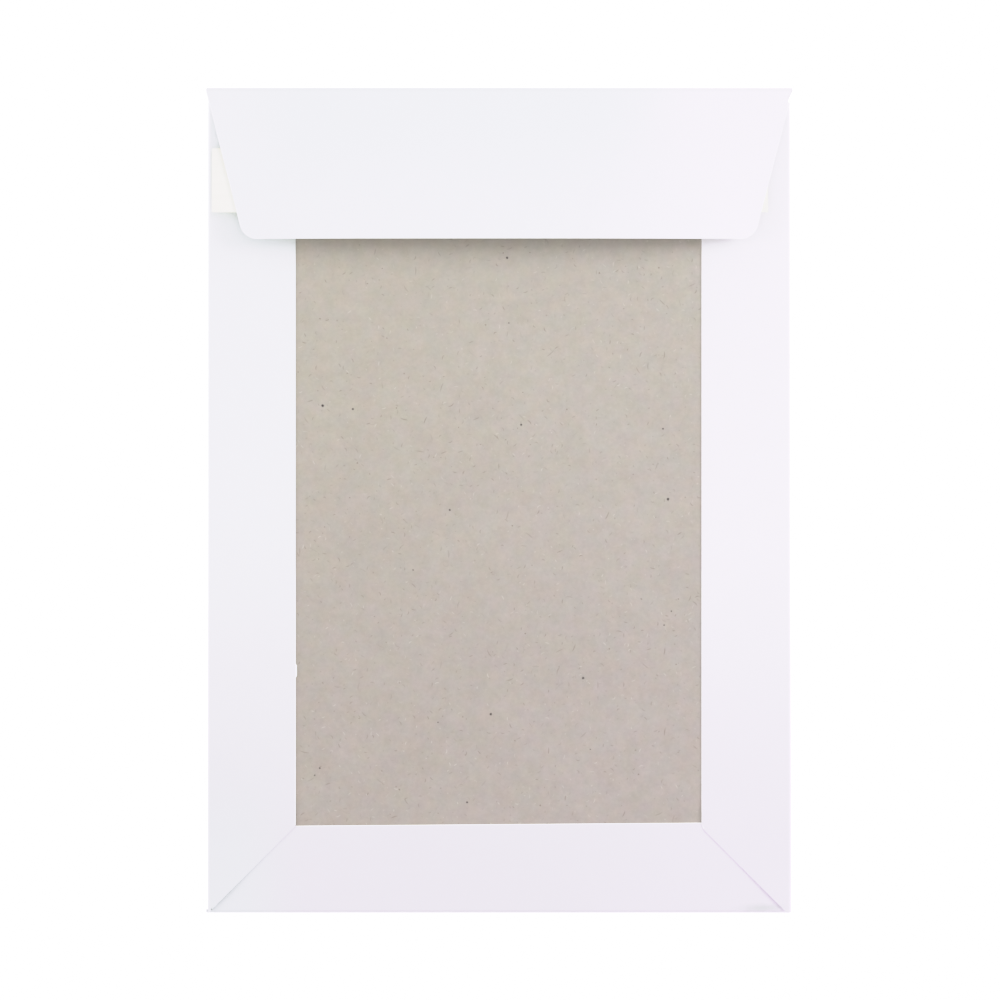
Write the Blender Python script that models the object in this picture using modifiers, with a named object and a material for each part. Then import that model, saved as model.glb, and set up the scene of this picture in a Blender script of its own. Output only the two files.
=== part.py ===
"""An empty board-backed envelope that lies on its front, with its closing flap folded over and not yet sealed.

One sheet of white paper makes the front panel, both side flaps, the bottom flap and the closing flap. The side
and bottom flaps are glued round the rim of a grey board, which is the envelope's back. Seen from above, +X is to
the right and the closing flap is at +Y. The front panel's outer face is at z = 0, and the origin is at the
middle of the outline. Lengths are in metres.
"""

import math

import bmesh
import bpy
from mathutils import Vector

# Outline of the closed envelope
WIDTH = 0.162
HEIGHT = 0.229

# Stock, and the gap left between faces that touch
PAPER = 0.00015
BOARD = 0.00095
GLUE = 0.00006
CONTACT = 0.00002

# Space inside
POCKET = 0.0003
BOARD_PLAY = 0.0008
BOARD_BELOW_FOLD = 0.0025

# Flaps glued to the board, measured in from the outline
LEFT_SEAM = 0.0244
RIGHT_SEAM = 0.0249
BOTTOM_SEAM_LEFT = 0.0241
BOTTOM_SEAM_RIGHT = 0.02495
SEAM_TOP = 0.0027

# Mitred corners: each side flap lies over the end of the bottom flap
LEFT_MITRE_START = 0.0003
RIGHT_MITRE_START = 0.0015
MITRE_OVERLAP = 0.002
MITRE_RAMP = 0.006
LEFT_MITRE_CORNER = 0.0012
RIGHT_MITRE_CORNER = 0.004
CORNER_SLIT = 0.0001

# Closing flap
FLAP_DEPTH = 0.04225
FLAP_SHOULDER = 0.0006
FLAP_TAPER_LEFT = math.radians(13.6)
FLAP_TAPER_RIGHT = math.radians(14.9)
FLAP_CORNER = 0.0047
FLAP_OPENING = math.radians(8.5)
FLAP_CLEARANCE = 0.0001
FOLD_TIP = 0.0004

# Peel-off liner over the flap's adhesive, measured from the fold and the side outlines
LINER = 0.00007
LINER_FROM_FOLD = 0.0168
LINER_DEPTH = 0.018
LINER_FROM_LEFT = 0.0012
LINER_FROM_RIGHT = 0.0065
ADHESIVE = 0.0001
ADHESIVE_DEPTH = 0.012
ADHESIVE_INSIDE_FLAP = 0.0012

# Bands of glue under the side and bottom flaps, measured from each flap's free edge
GLUE_SETBACK = 0.001
GLUE_BAND = 0.012

FOLD_STEPS = 8
CORNER_STEPS = 6
BOARD_EDGE = 0.00008
WELD = 1e-7

# Heights that follow from the stock
board_under = PAPER + POCKET
board_top = board_under + BOARD
seam_under = board_top + CONTACT + GLUE + CONTACT
seam_rise = PAPER + CONTACT

# Radii of the paper's middle surface round each fold, and where the flat panel ends
side_radius = seam_under / 2
flap_radius = side_radius + (PAPER + FLAP_CLEARANCE) / 2
side_crease = WIDTH / 2 - PAPER / 2 - side_radius
bottom_crease = HEIGHT / 2 - PAPER / 2 - side_radius
top_crease = HEIGHT / 2 - PAPER / 2 - flap_radius
side_bend = math.pi * side_radius
flap_turn = math.pi - FLAP_OPENING
flap_bend = flap_turn * flap_radius

# Ends of the side folds, and half the width of the bottom flap past its fold
side_low = -bottom_crease + CORNER_SLIT
side_high = HEIGHT / 2 - SEAM_TOP
bottom_root = side_crease - 2 * PAPER
tip_reach = WIDTH / 2 + FOLD_TIP


def emptied_scene():
    for thing in list(bpy.data.objects):
        bpy.data.objects.remove(thing, do_unlink=True)


def material(name, colour, roughness):
    made = bpy.data.materials.new(name)
    made.use_nodes = True
    shader = made.node_tree.nodes["Principled BSDF"]
    shader.inputs["Base Color"].default_value = (*colour, 1.0)
    shader.inputs["Roughness"].default_value = roughness
    shader.inputs["Metallic"].default_value = 0.0
    made.diffuse_color = (*colour, 1.0)
    return made


def placed(name, data, finish):
    thing = bpy.data.objects.new(name, data)
    thing.data.materials.append(finish)
    pieces.objects.link(thing)
    return thing


def rectangle(mesh, left, right, low, high):
    """One flat face at z = 0 between these sides."""
    made = bmesh.ops.create_grid(mesh, x_segments=1, y_segments=1, size=0.5)["verts"]
    for corner in made:
        corner.co.x = (left + right) / 2 + corner.co.x * (right - left)
        corner.co.y = (low + high) / 2 + corner.co.y * (high - low)


def faces_where(mesh, test):
    return [face for face in mesh.faces if test(face.calc_center_median())]


def edges_where(mesh, test):
    return [edge for edge in mesh.edges if test((edge.verts[0].co + edge.verts[1].co) / 2)]


def cut(mesh, faces, point, normal, trim=False):
    """Cuts these faces along a line, and drops what the normal points to if trim is set."""
    edges = {edge for face in faces for edge in face.edges}
    corners = {corner for face in faces for corner in face.verts}
    bmesh.ops.bisect_plane(
        mesh,
        geom=[*faces, *edges, *corners],
        dist=WELD,
        plane_co=Vector((*point, 0)),
        plane_no=Vector((*normal, 0)),
        clear_outer=trim,
    )


def pulled_out(mesh, edges, step):
    """Extends the sheet from these edges."""
    made = bmesh.ops.extrude_edge_only(mesh, edges=edges)["geom"]
    corners = [item for item in made if isinstance(item, bmesh.types.BMVert)]
    bmesh.ops.translate(mesh, verts=corners, vec=Vector((*step, 0)))


def rounded(mesh, corners, radius, opening):
    """Rounds sharp corners of the outline, whose sides meet at this angle."""
    bmesh.ops.bevel(
        mesh,
        geom=corners,
        offset=radius / math.tan(opening / 2),
        offset_type="OFFSET",
        segments=CORNER_STEPS,
        profile=0.5,
        affect="VERTICES",
        clamp_overlap=True,
    )


def nearest_corner(mesh, x, y):
    return min(mesh.verts, key=lambda corner: (corner.co.x - x) ** 2 + (corner.co.y - y) ** 2)


def side_flap(mesh, side, seam, mitre_start, mitre_corner):
    """Adds the flap of one side to the flat blank: side is 1 for the right one and -1 for the left."""

    def at_crease(p):
        return abs(p.x - side * side_crease) < WELD and side_low < p.y < side_high

    def on_flap(p):
        return side * p.x > side_crease + WELD and side_low < p.y < side_high

    flat = side_crease - (WIDTH / 2 - seam)
    pulled_out(mesh, edges_where(mesh, at_crease), (side * (side_bend + flat), 0))
    # On the flat blank the mitre runs up and away from the crease, from the corner of the outline
    foot = (side * (side_crease + side_bend), -HEIGHT / 2 + WIDTH / 2 - mitre_start - side_crease)
    cut(mesh, faces_where(mesh, on_flap), foot, (side, -1), trim=True)
    tip_x = side * (side_crease + side_bend + flat)
    rounded(mesh, [nearest_corner(mesh, tip_x, foot[1] + flat)], mitre_corner, math.radians(135))
    for into in (MITRE_OVERLAP, MITRE_OVERLAP + MITRE_RAMP / 2, MITRE_OVERLAP + MITRE_RAMP):
        shifted = (foot[0], foot[1] + into * math.sqrt(2))
        cut(mesh, faces_where(mesh, on_flap), shifted, (side, -1))
    for step in range(1, FOLD_STEPS + 1):
        line = side * (side_crease + side_bend * step / FOLD_STEPS)
        cut(mesh, faces_where(mesh, on_flap), (line, 0), (side, 0))


def bottom_flap(mesh):
    """Adds the bottom flap to the flat blank. Its free edge isn't quite level."""
    bend_end = -bottom_crease - side_bend

    def on_flap(p):
        return p.y < -bottom_crease - WELD

    def past_bend(p):
        return p.y < bend_end - WELD

    crease = edges_where(mesh, lambda p: abs(p.y + bottom_crease) < WELD)
    pulled_out(mesh, crease, (0, -side_bend))
    for side in (-1, 1):
        end = edges_where(mesh, lambda p: on_flap(p) and abs(p.x - side * side_crease) < WELD)
        pulled_out(mesh, end, (side * (tip_reach - side_crease), 0))
        cut(mesh, faces_where(mesh, on_flap), (side * bottom_root, 0), (side, 0))
    root = edges_where(mesh, lambda p: abs(p.y - bend_end) < WELD and abs(p.x) < bottom_root)
    pulled_out(mesh, root, (0, -2 * max(BOTTOM_SEAM_LEFT, BOTTOM_SEAM_RIGHT)))
    inset = HEIGHT / 2 - bottom_crease
    left_end = Vector((-WIDTH / 2 + LEFT_SEAM, bend_end - BOTTOM_SEAM_LEFT + inset))
    right_end = Vector((WIDTH / 2 - RIGHT_SEAM, bend_end - BOTTOM_SEAM_RIGHT + inset))
    slope = right_end - left_end
    cut(mesh, faces_where(mesh, past_bend), left_end, (slope.y, -slope.x), trim=True)
    for side, mitre_start in ((-1, LEFT_MITRE_START), (1, RIGHT_MITRE_START)):
        reach = WIDTH / 2 - mitre_start - inset + MITRE_OVERLAP * math.sqrt(2)
        cut(mesh, faces_where(mesh, past_bend), (side * reach, bend_end), (side, -1), trim=True)
    for step in range(1, FOLD_STEPS):
        line = -bottom_crease - side_bend * step / FOLD_STEPS
        cut(mesh, faces_where(mesh, on_flap), (0, line), (0, -1))


def closing_flap(mesh):
    """Adds the closing flap to the flat blank, with its shoulders, slanted sides and round corners."""

    def on_flap(p):
        return p.y > top_crease + WELD

    for side in (-1, 1):
        at_side = edges_where(mesh, lambda p: abs(p.x - side * side_crease) < WELD)
        ends = [edge for edge in at_side if min(end.co.y for end in edge.verts) > side_high - WELD]
        pulled_out(mesh, ends, (side * (tip_reach - side_crease), 0))
    crease = edges_where(mesh, lambda p: abs(p.y - top_crease) < WELD)
    pulled_out(mesh, crease, (0, flap_bend + flap_length))
    free_edge = top_crease + flap_bend + flap_length
    shoulder = top_crease + flap_bend + FLAP_SHOULDER
    for side, taper in ((-1, FLAP_TAPER_LEFT), (1, FLAP_TAPER_RIGHT)):
        slant = (side * math.cos(taper), math.sin(taper))
        cut(mesh, faces_where(mesh, on_flap), (side * WIDTH / 2, shoulder), slant, trim=True)
        corner_x = side * (WIDTH / 2 - (free_edge - shoulder) * math.tan(taper))
        corner = nearest_corner(mesh, corner_x, free_edge)
        rounded(mesh, [corner], FLAP_CORNER, math.pi / 2 + taper)
    for step in range(1, FOLD_STEPS + 1):
        line = top_crease + flap_bend * step / FOLD_STEPS
        cut(mesh, faces_where(mesh, on_flap), (0, line), (0, 1))


def folded(distance, radius, turn):
    """How far out and up a point of the flat blank ends, this far past a crease that is bent through turn."""
    bent = min(max(distance / radius, 0), turn)
    straight = max(distance - turn * radius, 0)
    out = radius * math.sin(bent) + straight * math.cos(bent)
    up = radius * (1 - math.cos(bent)) + straight * math.sin(bent)
    return out, up


def rise_over_bottom_flap(distance, y, mitre_start):
    """How far a side flap is lifted where it lies over the end of the bottom flap."""
    foot = -HEIGHT / 2 + WIDTH / 2 - mitre_start - side_crease
    inside = (y - foot - (distance - side_bend)) / math.sqrt(2)
    level = min(max(1 - (inside - MITRE_OVERLAP) / MITRE_RAMP, 0), 1)
    return seam_rise * level * min(distance / side_bend, 1)


def fold_blank(mesh):
    """Moves each point of the flat blank to its place on the folded envelope."""
    for corner in mesh.verts:
        x, y, _ = corner.co
        side = math.copysign(1, x)
        past_side = abs(x) - side_crease
        past_bottom = -bottom_crease - y
        past_top = y - top_crease
        up = 0.0
        if past_top > 0:
            out, up = folded(past_top, flap_radius, flap_turn)
            y = top_crease + out
        elif past_bottom > 0:
            out, up = folded(past_bottom, side_radius, math.pi)
            y = -bottom_crease - out
        elif past_side > 0 and y < side_high + WELD:
            out, up = folded(past_side, side_radius, math.pi)
            mitre_start = RIGHT_MITRE_START if side > 0 else LEFT_MITRE_START
            up += rise_over_bottom_flap(past_side, y, mitre_start)
            x = side * (side_crease + out)
        corner.co = (x, y, PAPER / 2 + up)


def envelope_sheet():
    """The die-cut blank, cut out flat and then folded, with the paper's thickness added last."""
    mesh = bmesh.new()
    rectangle(mesh, -side_crease, side_crease, -bottom_crease, top_crease)
    for line in (side_low, side_high):
        cut(mesh, list(mesh.faces), (0, line), (0, 1))
    side_flap(mesh, -1, LEFT_SEAM, LEFT_MITRE_START, LEFT_MITRE_CORNER)
    side_flap(mesh, 1, RIGHT_SEAM, RIGHT_MITRE_START, RIGHT_MITRE_CORNER)
    bottom_flap(mesh)
    closing_flap(mesh)
    fold_blank(mesh)
    bmesh.ops.remove_doubles(mesh, verts=mesh.verts, dist=WELD)
    bmesh.ops.recalc_face_normals(mesh, faces=mesh.faces)
    bmesh.ops.triangulate(mesh, faces=mesh.faces)
    data = bpy.data.meshes.new("envelope_sheet")
    mesh.to_mesh(data)
    mesh.free()
    sheet = placed("envelope_sheet", data, material("white_paper", (0.85, 0.84, 0.89), 0.82))
    wall = sheet.modifiers.new("paper_thickness", "SOLIDIFY")
    wall.thickness = PAPER
    wall.offset = 0
    return sheet


def slab(name, left, right, low, high, thickness, finish):
    """A flat strip whose underside is at its object's own z = 0."""
    mesh = bmesh.new()
    rectangle(mesh, left, right, low, high)
    data = bpy.data.meshes.new(name)
    mesh.to_mesh(data)
    mesh.free()
    strip = placed(name, data, finish)
    wall = strip.modifiers.new("thickness", "SOLIDIFY")
    wall.thickness = thickness
    wall.offset = 1
    return strip


def back_board():
    half = WIDTH / 2 - PAPER - BOARD_PLAY
    low = -HEIGHT / 2 + PAPER + BOARD_PLAY
    high = HEIGHT / 2 - BOARD_BELOW_FOLD
    grey = material("greyboard", (0.43, 0.38, 0.35), 0.95)
    board = slab("back_board", -half, half, low, high, BOARD, grey)
    board.location.z = board_under
    edge = board.modifiers.new("worn_edge", "BEVEL")
    edge.width = BOARD_EDGE
    edge.segments = 2
    return board


def seam_glue():
    """A band of glue under each of the three flaps that hold the board."""
    height = board_top + CONTACT
    high = side_high - GLUE_SETBACK
    widest = max(LEFT_SEAM, RIGHT_SEAM, BOTTOM_SEAM_LEFT, BOTTOM_SEAM_RIGHT)
    low = -HEIGHT / 2 + widest + GLUE_BAND / 2
    left = -WIDTH / 2 + LEFT_SEAM - GLUE_SETBACK
    right = WIDTH / 2 - RIGHT_SEAM + GLUE_SETBACK
    free_edge = -HEIGHT / 2 + min(BOTTOM_SEAM_LEFT, BOTTOM_SEAM_RIGHT) - GLUE_SETBACK
    bands = {
        "left_seam_glue": (left - GLUE_BAND, left, low, high),
        "right_seam_glue": (right, right + GLUE_BAND, low, high),
        "bottom_seam_glue": (left, right, free_edge - GLUE_BAND, free_edge),
    }
    for name, sides in bands.items():
        band = slab(name, *sides, GLUE, material(name, (0.80, 0.76, 0.66), 0.45))
        band.location.z = height


def flap_closure():
    """The adhesive on the flap's inner face and the liner that covers it, both in the flap's own plane."""
    plane = bpy.data.objects.new("flap_plane", None)
    pieces.objects.link(plane)
    plane.location = (0, flap_start_y, flap_start_z)
    plane.rotation_euler.x = -FLAP_OPENING
    from_fold = flap_start_y - HEIGHT / 2 + LINER_FROM_FOLD
    high = -from_fold / math.cos(FLAP_OPENING)
    low = high - LINER_DEPTH
    tacky = material("hot_melt_adhesive", (0.78, 0.70, 0.48), 0.30)
    middle = (low + high) / 2
    drop = -middle + ADHESIVE_DEPTH / 2 - FLAP_SHOULDER
    left = -WIDTH / 2 + drop * math.tan(FLAP_TAPER_LEFT) + ADHESIVE_INSIDE_FLAP
    right = WIDTH / 2 - drop * math.tan(FLAP_TAPER_RIGHT) - ADHESIVE_INSIDE_FLAP
    strip_low = middle - ADHESIVE_DEPTH / 2
    strip_high = middle + ADHESIVE_DEPTH / 2
    adhesive = slab("flap_adhesive", left, right, strip_low, strip_high, ADHESIVE, tacky)
    adhesive.parent = plane
    adhesive.location.z = -PAPER / 2 - CONTACT - ADHESIVE
    coated = material("release_liner", (0.86, 0.85, 0.80), 0.35)
    liner_left = -WIDTH / 2 + LINER_FROM_LEFT
    liner_right = WIDTH / 2 - LINER_FROM_RIGHT
    liner = slab("release_liner", liner_left, liner_right, low, high, LINER, coated)
    liner.parent = plane
    liner.location.z = adhesive.location.z - CONTACT - LINER


# Where the closing flap leaves its fold, and how far it then runs
flap_out, flap_up = folded(flap_bend, flap_radius, flap_turn)
flap_start_y = top_crease + flap_out
flap_start_z = PAPER / 2 + flap_up
flap_length = (flap_start_y - HEIGHT / 2 + FLAP_DEPTH) / math.cos(FLAP_OPENING)

emptied_scene()
pieces = bpy.data.collections.new("board_backed_envelope")
bpy.context.scene.collection.children.link(pieces)
envelope_sheet()
back_board()
seam_glue()
flap_closure()
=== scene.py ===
# %% [markdown]
# # An empty board-backed envelope, seen from its back
#
# The real thing is one sheet of white paper folded round a grey board. The two side flaps and the bottom
# flap are glued to the rim of the board, the closing flap lies over the top and isn't sealed yet, and its
# adhesive still wears its peel-off liner. Lengths are in metres. +X is to the right and +Y to the closing
# flap's fold.
#
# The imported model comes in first, because every piece below takes its size and place from it.

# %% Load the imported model
import math

import bmesh
import bpy
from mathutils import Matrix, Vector, noise


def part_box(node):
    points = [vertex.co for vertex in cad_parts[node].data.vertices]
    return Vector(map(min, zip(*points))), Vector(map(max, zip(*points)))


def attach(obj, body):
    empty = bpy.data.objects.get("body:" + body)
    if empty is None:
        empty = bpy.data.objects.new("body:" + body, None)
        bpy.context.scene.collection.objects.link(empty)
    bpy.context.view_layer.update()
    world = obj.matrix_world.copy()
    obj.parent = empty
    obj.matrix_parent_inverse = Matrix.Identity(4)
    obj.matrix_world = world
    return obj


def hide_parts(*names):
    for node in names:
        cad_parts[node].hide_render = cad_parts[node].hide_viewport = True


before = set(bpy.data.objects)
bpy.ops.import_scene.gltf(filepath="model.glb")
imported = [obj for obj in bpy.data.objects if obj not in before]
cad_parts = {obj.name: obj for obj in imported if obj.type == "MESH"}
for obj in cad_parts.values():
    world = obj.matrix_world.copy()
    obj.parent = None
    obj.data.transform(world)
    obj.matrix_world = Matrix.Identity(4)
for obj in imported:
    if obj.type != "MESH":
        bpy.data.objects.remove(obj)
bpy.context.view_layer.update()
bpy.ops.object.select_all(action="DESELECT")
print("nodes:", sorted(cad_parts))

# %% [markdown]
# ## Camera
#
# The envelope is looked at from straight above. A long lens far away keeps the raised flap from growing
# towards the camera, as the photograph does. The picture is 1000 pixels wide, and the envelope's outline
# fills 582 by 825 of them, so the distance follows from how many pixels a metre takes.

# %% Camera
MM = 0.001
PICTURE = 1000
PIXELS_PER_METRE = 3598
OUTLINE_MIDDLE = (499.5, 500.15)
LENS = 200.0
SENSOR = 36.0
NEAREST_SEEN = 0.1
FARTHEST_SEEN = 20.0

picture_width = PICTURE / PIXELS_PER_METRE
eye_height = picture_width * LENS / SENSOR
bpy.ops.object.camera_add(location=(0, 0, eye_height), rotation=(0, 0, 0))
camera = bpy.context.object
camera.name = "camera_above"
camera.data.lens = LENS
camera.data.sensor_width = SENSOR
camera.data.shift_x = (PICTURE / 2 - OUTLINE_MIDDLE[0]) / PICTURE
camera.data.shift_y = (OUTLINE_MIDDLE[1] - PICTURE / 2) / PICTURE
camera.data.clip_start = NEAREST_SEEN
camera.data.clip_end = FARTHEST_SEEN
bpy.context.scene.camera = camera
print("camera height:", round(eye_height, 3))

# %% [markdown]
# ## Floor and light
#
# The photograph was taken on a white table in very even light. An even sky gives nearly all of it here. The
# rest comes from two low lamps about a metre away: a stronger one at the right and a little above, and a
# weak one at the left. They reach in under the closing flap from its sides, so its shadow is deepest in the
# middle and weak on the white flaps. The table gives off a little light of its own, so it stays white right
# up to the envelope, as it does in the photograph.
#
# Each lamp is given by the direction it stands in, how high it stands, both as angles, and its share of the
# light that falls on the table.

# %% Floor
FLOOR_SIZE = 12.0
FLOOR_GAP = 0.02 * MM

bpy.ops.mesh.primitive_plane_add(size=FLOOR_SIZE, location=(0, 0, -FLOOR_GAP))
floor = bpy.context.object
floor.name = "white_table"

# %% Light
LAMP_DISTANCE = 1.1
LAMP_SIZE = 0.4
LAMPS = (
    ("right_lamp", math.radians(20), math.radians(20), 0.21),
    ("left_lamp", math.radians(178), math.radians(14), 0.09),
)
SKY_SHARE = 0.99

for name, side, rise, share in LAMPS:
    level = math.cos(rise)
    towards_lamp = Vector((level * math.cos(side), level * math.sin(side), math.sin(rise)))
    bpy.ops.object.light_add(type="AREA", location=towards_lamp * LAMP_DISTANCE)
    lamp = bpy.context.object
    lamp.name = name
    lamp.rotation_euler = towards_lamp.to_track_quat("Z", "Y").to_euler()
    lamp.data.shape = "DISK"
    lamp.data.size = LAMP_SIZE
    lamp.data.energy = share * math.pi**2 * LAMP_DISTANCE**2 / math.sin(rise)
    lamp.visible_camera = False
    print(name, "at", [round(part, 2) for part in lamp.location])

world = bpy.data.worlds.new("even_sky")
world.use_nodes = True
world.node_tree.nodes["Background"].inputs["Color"].default_value = (1.0, 1.0, 1.0, 1.0)
world.node_tree.nodes["Background"].inputs["Strength"].default_value = SKY_SHARE
bpy.context.scene.world = world

# %% [markdown]
# ## Camera response
#
# White paper and grey board are both well exposed in the photograph, because a camera presses its
# highlights together: the flap's shadow is deep on the board and hardly shows on the white flaps beside it.
# The Standard view has no such shoulder, so a curve adds one. It leaves everything up to the board's grey
# alone and presses what is brighter, from a table that shines at 1.5 down to 1. Its pieces are straight,
# because a rounded curve sags before its knee and darkens the board. Among the highlights blue is lifted a
# little and green is lowered, and that tints the white paper without tinting the shadows on it.

# %% Camera response
SHOULDER = (
    (0.0, 0.0),
    (0.6, 0.6),
    (0.68, 0.69),
    (0.75, 0.755),
    (0.82, 0.81),
    (0.9, 0.845),
    (1.0, 0.872),
    (1.1, 0.893),
    (1.25, 0.93),
    (1.5, 1.0),
)
BLUE_LIFT = (
    (0.65, 0.65),
    (0.8, 0.83),
    (0.9, 0.985),
    (1.0, 1.1),
    (1.1, 1.19),
    (1.25, 1.33),
)
GREEN_DIP = (
    (0.65, 0.65),
    (0.75, 0.745),
    (0.88, 0.864),
    (1.0, 0.945),
    (1.1, 1.04),
    (1.25, 1.18),
)
GREEN, BLUE, ALL_CHANNELS = 1, 2, 3

view = bpy.context.scene.view_settings
view.view_transform = "Standard"
view.use_curve_mapping = True
response = view.curve_mapping
brightest = SHOULDER[-1][0]
response.white_level = (brightest, brightest, brightest)
response.extend = "HORIZONTAL"
all_channels = response.curves[ALL_CHANNELS]
all_channels.points[0].location = SHOULDER[0]
all_channels.points[1].location = (1.0, 1.0)
for light, shown in SHOULDER[1:-1]:
    all_channels.points.new(light / brightest, shown)
for channel, bend in ((GREEN, GREEN_DIP), (BLUE, BLUE_LIFT)):
    for light, bent in bend:
        response.curves[channel].points.new(light / brightest, bent / brightest)
for channel in response.curves:
    for knee in channel.points:
        knee.handle_type = "VECTOR"
response.update()
print("points of the response:", [len(channel.points) for channel in response.curves])

# %% [markdown]
# ## Writing materials
#
# A material here is a Principled shader with patterns worked out from formulas. `Finish` makes one, and its
# `node` adds any node. It hands back a `Value`, which can be added and multiplied like a number.

# %% Helpers for materials
class Value:
    """A number that changes over a surface. Arithmetic on it adds Math nodes to its finish."""

    def __init__(self, finish, socket):
        self.finish = finish
        self.socket = socket

    def maths(self, operation, *inputs):
        return self.finish.node("ShaderNodeMath", {"operation": operation}, inputs)

    def __add__(self, other):
        return self.maths("ADD", self, other)

    def __radd__(self, other):
        return self.maths("ADD", other, self)

    def __sub__(self, other):
        return self.maths("SUBTRACT", self, other)

    def __rsub__(self, other):
        return self.maths("SUBTRACT", other, self)

    def __mul__(self, other):
        return self.maths("MULTIPLY", self, other)

    def __truediv__(self, other):
        return self.maths("DIVIDE", self, other)

    def part(self, output):
        """Another output of the same node."""
        return Value(self.finish, self.socket.node.outputs[output])

    def step(self, start, end):
        """0 at start and 1 at end, softly changing between them. The start may be the larger one."""
        settings = {"interpolation_type": "SMOOTHSTEP"}
        return self.finish.node("ShaderNodeMapRange", settings, (self, start, end))


class Finish:
    """A material with a Principled shader, and a short way to add nodes to it."""

    def __init__(self, name, colour, roughness):
        self.material = bpy.data.materials.new(name)
        self.material.use_nodes = True
        self.tree = self.material.node_tree
        self.shader = self.tree.nodes["Principled BSDF"]
        self.shader.inputs["Base Color"].default_value = (*colour, 1.0)
        self.shader.inputs["Roughness"].default_value = roughness
        self.place = self.node("ShaderNodeTexCoord", output="Object")

    def node(self, kind, settings=None, inputs=(), output=0):
        """Adds a node with these settings. Its inputs are values or links, by place or by name."""
        made = self.tree.nodes.new(kind)
        for name, setting in (settings or {}).items():
            setattr(made, name, setting)
        pairs = inputs.items() if isinstance(inputs, dict) else enumerate(inputs)
        for socket, value in pairs:
            if isinstance(value, Value):
                self.tree.links.new(value.socket, made.inputs[socket])
            elif value is not None:
                made.inputs[socket].default_value = value
        return Value(self, made.outputs[output])

    def noise(self, size, detail=2.0, roughness=0.5, at=None, stretch=None):
        """A cloudy pattern from 0 to 1 whose patches are about this size in metres."""
        place = at or self.place
        if stretch:
            place = self.moved(place, scale=stretch)
        inputs = {"Vector": place, "Scale": 1 / size, "Detail": detail, "Roughness": roughness}
        return self.node("ShaderNodeTexNoise", {}, inputs)

    def moved(self, place, location=(0, 0, 0), turn=0.0, scale=(1, 1, 1)):
        inputs = {"Vector": place, "Location": location, "Rotation": (0, 0, turn), "Scale": scale}
        return self.node("ShaderNodeMapping", {"vector_type": "TEXTURE"}, inputs)

    def mix(self, share, first, second):
        """A colour between two colours."""
        inputs = {"Factor": share, 6: first, 7: second}
        return self.node("ShaderNodeMix", {"data_type": "RGBA"}, inputs, output=2)

    def shade(self, colour, factor):
        """The same colour, this many times as bright."""
        inputs = {0: colour, "Scale": factor}
        return self.node("ShaderNodeVectorMath", {"operation": "SCALE"}, inputs)

    def cells(self, size, at):
        """A mosaic of cells about this size: gives each cell's middle and three random numbers."""
        settings = {"voronoi_dimensions": "2D", "feature": "F1"}
        mosaic = self.node("ShaderNodeTexVoronoi", settings, {"Vector": at, "Scale": 1 / size})
        random = self.node("ShaderNodeSeparateColor", {}, (mosaic.part("Color"),))
        return mosaic.part("Position"), random, random.part(1), random.part(2)

    def feed(self, name, value):
        self.tree.links.new(value.socket, self.shader.inputs[name])

    def relief(self, height, depth):
        """Bumps up to this depth in metres, from a height that goes from 0 to 1."""
        inputs = {"Strength": 1.0, "Distance": depth, "Height": height}
        self.feed("Normal", self.node("ShaderNodeBump", {}, inputs))


# %% Floor's white
WHITE = (1.0, 1.0, 1.0, 1.0)
TABLE_ROUGHNESS = 0.9
TABLE_GLOW = 0.56

table_white = Finish("table_white", WHITE[:3], TABLE_ROUGHNESS)
table_white.shader.inputs["Emission Color"].default_value = WHITE
table_white.shader.inputs["Emission Strength"].default_value = TABLE_GLOW
floor.data.materials.append(table_white.material)

# %% [markdown]
# ## White paper
#
# The envelope is smooth uncoated paper of 120 g/m2. It is a little blue, from the brightener in it. Its
# tint and brightness drift from the left to the right and from the top to the bottom, and its lower left
# corner is greyer. Part of this drift is painted light: the paper is painted lighter to the right and darker
# towards the bottom, where the light falls off. Close up it has a faint cloudy look, and a fine tooth that
# is bump here because it is far finer than the mesh. The top fold is painted a little darker along the
# outline, as painted shade. Some cut edges, the ones the light falls on, are painted lighter as a painted
# highlight, and the mesh marks them with a vertex attribute. The lower right end of the bottom fold is
# painted a little darker.
#
# Each drift runs from its first place to its second one, across or up the sheet.

# %% White paper
PAPER_LEFT = (0.846, 0.871, 0.870, 1.0)
PAPER_RIGHT = (0.926, 0.899, 0.928, 1.0)
PAPER_TOP = (0.797, 0.852, 0.845, 1.0)
PAPER_BOTTOM_LEFT = (0.716, 0.668, 0.731, 1.0)
PAPER_BOTTOM_RIGHT = (0.757, 0.684, 0.785, 1.0)
PAPER_CORNER = (0.700, 0.713, 0.728, 1.0)
PAPER_EDGE_HIGHLIGHT = (0.990, 1.000, 0.990, 1.0)
PAPER_FOLD_DARKER = (0.600, 0.598, 0.610, 1.0)
PAPER_ROUGHNESS = 0.82
RIGHT_DRIFT = (5 * MM, 66 * MM)
TOP_DRIFT = (78 * MM, 108 * MM)
TOP_DRIFT_ACROSS = (-80 * MM, -52 * MM)
BOTTOM_DRIFT = (6 * MM, -108 * MM)
CORNER_DRIFT = (-60 * MM, -98 * MM)
CORNER_DRIFT_ACROSS = (-52 * MM, -74 * MM)
WANDER_PATCH = 45 * MM
WANDER_REACH = 50 * MM
CLOUD_PATCH = 7 * MM
SMALL_CLOUD_PATCH = 1.6 * MM
CLOUD_DEPTH = 0.02
FOLD_SHADE_DRIFT = (113.2 * MM, 114.3 * MM)
FOLD_SHADE_DEPTH = 0.12
DARKER_PATCH_MIDDLE = (72.5 * MM, -113.2 * MM, 1.5 * MM)
DARKER_PATCH_SIZE = (9.0 * MM, 1.7 * MM, 3.0 * MM)
DARKER_PATCH_CLOUD = 2 * MM
TOOTH_GRAIN = 0.25 * MM
TOOTH_HEIGHT = 0.006 * MM


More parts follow.
